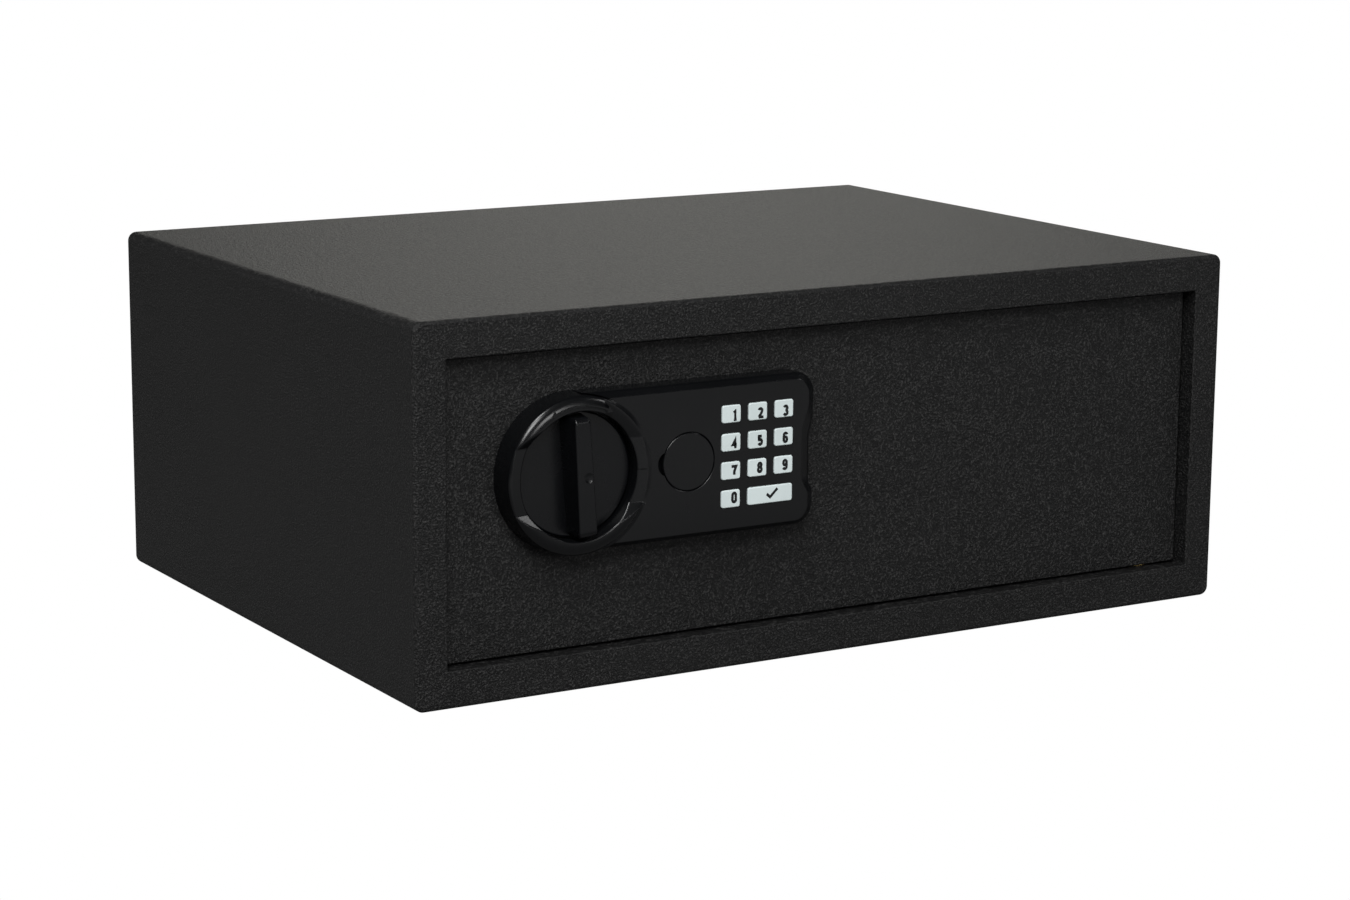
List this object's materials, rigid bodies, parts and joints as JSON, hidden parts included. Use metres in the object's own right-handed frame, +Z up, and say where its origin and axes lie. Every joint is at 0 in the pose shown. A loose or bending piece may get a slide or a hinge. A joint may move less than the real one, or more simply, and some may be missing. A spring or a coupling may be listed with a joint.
{
  "type": "keypad safe",
  "caption": "Low laptop-size steel safe with an inset hinged door, a turn knob that throws lock bolts, a number keypad, an emergency key lock and a battery compartment inside.",
  "frame": {"origin": "centre of the cabinet's underside, on the surface that the safe stands on", "axes": "+X to the right seen from the front, +Y towards the back, +Z up; the door faces -Y"},
  "size_m": [0.45, 0.341, 0.175],
  "materials": {
    "powder_coat": "fine-textured black powder coat",
    "felt": "grey needle felt",
    "panel_plastic": "satin black moulded",
    "knob_plastic": "semi-gloss black moulded",
    "key_plastic": "cool white with black digits",
    "silicone": "matt",
    "circuit_board": "green solder mask",
    "zinc_plate": "zinc plated",
    "steel": "bright turned",
    "brass": "turned",
    "nylon": "natural",
    "battery_wrap": "printed foil, plain",
    "ribbon": "flat cable",
    "red_plastic": "moulded"
  },
  "bodies": {
    "cabinet": {"outer_wrap": "powder_coat", "front_frame": "powder_coat", "back_panel": "powder_coat", "floor_mat": "felt", "hinge_washer": "brass"},
    "door": {"door_plate": "powder_coat", "door_cover": "powder_coat", "cover_screw_1": "steel", "cover_screw_2": "steel", "cover_screw_3": "steel", "cover_screw_4": "steel", "hinge_block_top": "zinc_plate", "hinge_block_bottom": "zinc_plate", "hinge_pin_top": "steel", "hinge_pin_bottom": "steel", "panel_housing": "panel_plastic", "key_mat": "silicone", "keypad_board": "circuit_board", "panel_screw_1": "steel", "panel_screw_2": "steel", "panel_screw_3": "steel", "panel_screw_4": "steel", "lock_cylinder": "brass", "cylinder_nut": "zinc_plate", "knob_bush": "nylon", "bolt_guide": "zinc_plate", "carriage_stud_upper": "steel", "carriage_stud_lower": "steel", "solenoid_body": "zinc_plate", "battery_box": "panel_plastic", "cell_1": "battery_wrap", "cell_2": "battery_wrap", "cell_3": "battery_wrap", "cell_4": "battery_wrap", "control_board": "circuit_board", "ribbon_cable": "ribbon"},
    "knob": {"dial": "knob_plastic", "dial_shaft": "steel", "drive_cam": "zinc_plate"},
    "bolt_work": {"bolt_carriage": "zinc_plate", "lock_bolt_upper": "steel", "lock_bolt_lower": "steel"},
    "lock_plug": {"cylinder_plug": "brass", "release_cam": "zinc_plate"},
    "lock_cap": {"override_cap": "panel_plastic"},
    "plunger": {"solenoid_plunger": "steel"},
    "battery_lid": {"battery_cover": "panel_plastic"},
    "reset": {"reset_button": "red_plastic"},
    "digit_1": {"key_1": "key_plastic"},
    "digit_2": {"key_2": "key_plastic"},
    "digit_3": {"key_3": "key_plastic"},
    "digit_4": {"key_4": "key_plastic"},
    "digit_5": {"key_5": "key_plastic"},
    "digit_6": {"key_6": "key_plastic"},
    "digit_7": {"key_7": "key_plastic"},
    "digit_8": {"key_8": "key_plastic"},
    "digit_9": {"key_9": "key_plastic"},
    "digit_0": {"key_0": "key_plastic"},
    "enter": {"key_enter": "key_plastic"}
  },
  "joints": [
    {"name": "door_hinge", "type": "hinge", "parent": "cabinet", "child": "door", "pos_m": [0.1879, -0.15, 0.0875], "axis": [0, 0, 1], "range_deg": [0, 100]},
    {"name": "bolt_slide", "type": "slide", "parent": "door", "child": "bolt_work", "axis": [-1, 0, 0], "range_m": [0, 0.015]},
    {"name": "knob_turn", "type": "hinge", "parent": "door", "child": "knob", "pos_m": [-0.1454, -0.1645, 0.1004], "axis": [0, -1, 0], "range_deg": [0, 75]},
    {"name": "plug_turn", "type": "hinge", "parent": "door", "child": "lock_plug", "pos_m": [-0.0891, -0.15, 0.1015], "axis": [0, 1, 0], "range_deg": [0, 90]},
    {"name": "cap_pull", "type": "slide", "parent": "door", "child": "lock_cap", "axis": [0, -1, 0], "range_m": [0, 0.02]},
    {"name": "plunger_lift", "type": "slide", "parent": "door", "child": "plunger", "axis": [0, 0, 1], "range_m": [0, 0.006]},
    {"name": "battery_cover_pull", "type": "slide", "parent": "door", "child": "battery_lid", "axis": [0, 1, 0], "range_m": [0, 0.03]},
    {"name": "reset_press", "type": "slide", "parent": "door", "child": "reset", "axis": [0, -1, 0], "range_m": [0, 0.0015], "stiffness_N_per_m": 300},
    {"name": "press_1", "type": "slide", "parent": "door", "child": "digit_1", "axis": [0, 1, 0], "range_m": [0, 0.0008], "stiffness_N_per_m": 400},
    {"name": "press_2", "type": "slide", "parent": "door", "child": "digit_2", "axis": [0, 1, 0], "range_m": [0, 0.0008], "stiffness_N_per_m": 400},
    {"name": "press_3", "type": "slide", "parent": "door", "child": "digit_3", "axis": [0, 1, 0], "range_m": [0, 0.0008], "stiffness_N_per_m": 400},
    {"name": "press_4", "type": "slide", "parent": "door", "child": "digit_4", "axis": [0, 1, 0], "range_m": [0, 0.0008], "stiffness_N_per_m": 400},
    {"name": "press_5", "type": "slide", "parent": "door", "child": "digit_5", "axis": [0, 1, 0], "range_m": [0, 0.0008], "stiffness_N_per_m": 400},
    {"name": "press_6", "type": "slide", "parent": "door", "child": "digit_6", "axis": [0, 1, 0], "range_m": [0, 0.0008], "stiffness_N_per_m": 400},
    {"name": "press_7", "type": "slide", "parent": "door", "child": "digit_7", "axis": [0, 1, 0], "range_m": [0, 0.0008], "stiffness_N_per_m": 400},
    {"name": "press_8", "type": "slide", "parent": "door", "child": "digit_8", "axis": [0, 1, 0], "range_m": [0, 0.0008], "stiffness_N_per_m": 400},
    {"name": "press_9", "type": "slide", "parent": "door", "child": "digit_9", "axis": [0, 1, 0], "range_m": [0, 0.0008], "stiffness_N_per_m": 400},
    {"name": "press_0", "type": "slide", "parent": "door", "child": "digit_0", "axis": [0, 1, 0], "range_m": [0, 0.0008], "stiffness_N_per_m": 400},
    {"name": "press_enter", "type": "slide", "parent": "door", "child": "enter", "axis": [0, 1, 0], "range_m": [0, 0.0008], "stiffness_N_per_m": 400}
  ],
  "couplings": [
    {"joint": "knob_turn", "follows": "bolt_slide", "rad_per_m": 87.26}
  ]
}
